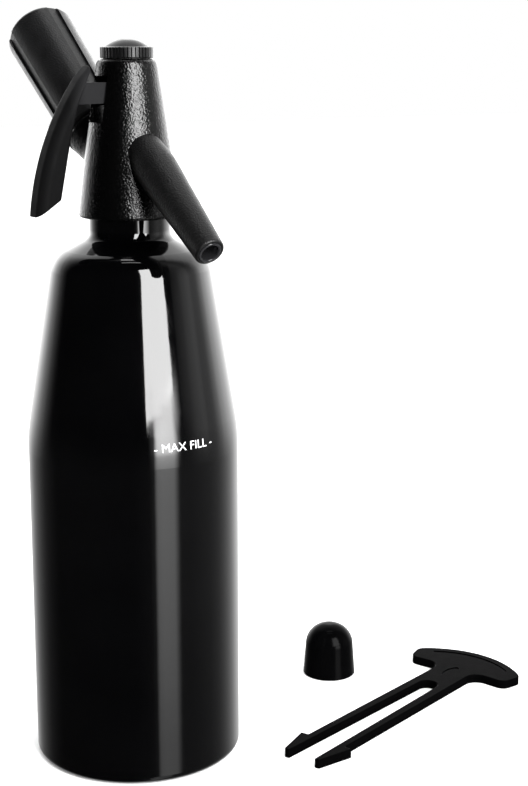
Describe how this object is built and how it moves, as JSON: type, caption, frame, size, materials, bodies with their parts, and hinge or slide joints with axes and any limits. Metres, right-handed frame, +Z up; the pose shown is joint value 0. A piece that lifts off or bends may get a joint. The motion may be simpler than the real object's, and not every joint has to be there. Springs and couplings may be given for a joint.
{
  "type": "soda siphon",
  "caption": "Gas-charged soda siphon bottle with lever valve head, sloping spout and charger holder, with a loose dust cap and extractor key.",
  "frame": {"origin": "centre of the bottle's base, on the floor", "axes": "+Z up along the bottle, +X along the spout's side, -X along the charger holder's side, -Y on the lever's side"},
  "size_m": [0.1718, 0.2549, 0.3474],
  "materials": {
    "lacquer": "gloss black lacquer over thin metal",
    "pebbled_moulding": "black moulding with a fine pebbled grain",
    "satin_moulding": "smooth satin black moulding",
    "spout_moulding": "fine matt black moulding",
    "cap_moulding": "satin black moulding with knurls",
    "dust_cap_moulding": "semi-gloss black moulding",
    "key_moulding": "satin black moulding",
    "clear_liner": "smooth dark liner",
    "white_tube": "smooth milky plastic",
    "brass": "turned brass",
    "steel": "plain steel",
    "charger_steel": "zinc-plated steel",
    "rubber": "black rubber"
  },
  "bodies": {
    "bottle": {"bottle": "lacquer"},
    "tube_set": {"measuring_tube": "white_tube", "riser_collar": "white_tube", "riser_tube": "white_tube", "tube_foot": "white_tube", "riser_seal": "rubber"},
    "gasket": {"head_gasket": "rubber"},
    "head": {"head_shell": "pebbled_moulding", "head_core": "brass", "lever_pin": "steel", "spout": "spout_moulding", "nozzle_insert": "clear_liner", "piercer_body": "brass", "piercing_needle": "steel", "nose_seal": "rubber", "valve_seat": "rubber", "stem_packing": "rubber"},
    "lever": {"lever": "satin_moulding"},
    "valve": {"valve_stem": "brass", "valve_washer": "rubber", "valve_spring": "steel"},
    "cap_seal": {"cap_seal": "rubber"},
    "top_cap": {"top_cap": "cap_moulding"},
    "charger": {"gas_charger": "charger_steel"},
    "cushion": {"holder_cushion": "rubber"},
    "holder": {"charger_holder": "satin_moulding"},
    "dust_cap": {"dust_cap": "dust_cap_moulding"},
    "extractor_key": {"extractor_key": "key_moulding"}
  },
  "joints": [
    {"name": "head_liftoff", "type": "slide", "parent": "bottle", "child": "tube_set", "axis": [0, 0, 1], "range_m": [0, 0.27]},
    {"name": "head_advance", "type": "slide", "parent": "tube_set", "child": "gasket", "axis": [0, 0, 1], "range_m": [0, 0.00805]},
    {"name": "head_turn", "type": "hinge", "parent": "gasket", "child": "head", "pos_m": [0, 0, 0.2679], "axis": [0, 0, 1], "range_deg": [0, 720]},
    {"name": "lever_press", "type": "hinge", "parent": "head", "child": "lever", "pos_m": [0, -0.01, 0.3093], "axis": [1, 0, 0], "range_deg": [0, 12], "stiffness_Nm_per_rad": 0.6, "springref_deg": -17.19},
    {"name": "valve_lift", "type": "slide", "parent": "head", "child": "valve", "axis": [0, 0, 1], "range_m": [0, 0.0025], "deforming": ["valve_spring"]},
    {"name": "cap_rise", "type": "slide", "parent": "head", "child": "cap_seal", "axis": [0, 0, 1], "range_m": [0, 0.00605]},
    {"name": "cap_turn", "type": "hinge", "parent": "cap_seal", "child": "top_cap", "pos_m": [0, 0, 0.3238], "axis": [0, 0, 1], "range_deg": [0, 1440]},
    {"name": "charger_pull", "type": "slide", "parent": "head", "child": "charger", "axis": [-0.7986, 0, 0.6018], "range_m": [0, 0.09]},
    {"name": "holder_advance", "type": "slide", "parent": "charger", "child": "cushion", "axis": [-0.7986, 0, 0.6018], "range_m": [0, 0.01255]},
    {"name": "holder_turn", "type": "hinge", "parent": "cushion", "child": "holder", "pos_m": [-0.08545, 0, 0.33252], "axis": [-0.7986, 0, 0.6018], "range_deg": [0, 1800]},
    {"name": "dust_cap_lift", "type": "slide", "parent": "bottle", "child": "dust_cap", "axis": [0, 0, 1], "range_m": [0, 0.3]},
    {"name": "key_lift", "type": "slide", "parent": "bottle", "child": "extractor_key", "axis": [0, 0, 1], "range_m": [0, 0.3]}
  ],
  "couplings": [
    {"joint": "head_advance", "follows": "head_turn", "m_per_rad": 0.00063662},
    {"joint": "valve_lift", "follows": "lever_press", "m_per_rad": 0.01},
    {"joint": "cap_rise", "follows": "cap_turn", "m_per_rad": 0.00023873},
    {"joint": "holder_advance", "follows": "holder_turn", "m_per_rad": 0.00039789}
  ]
}
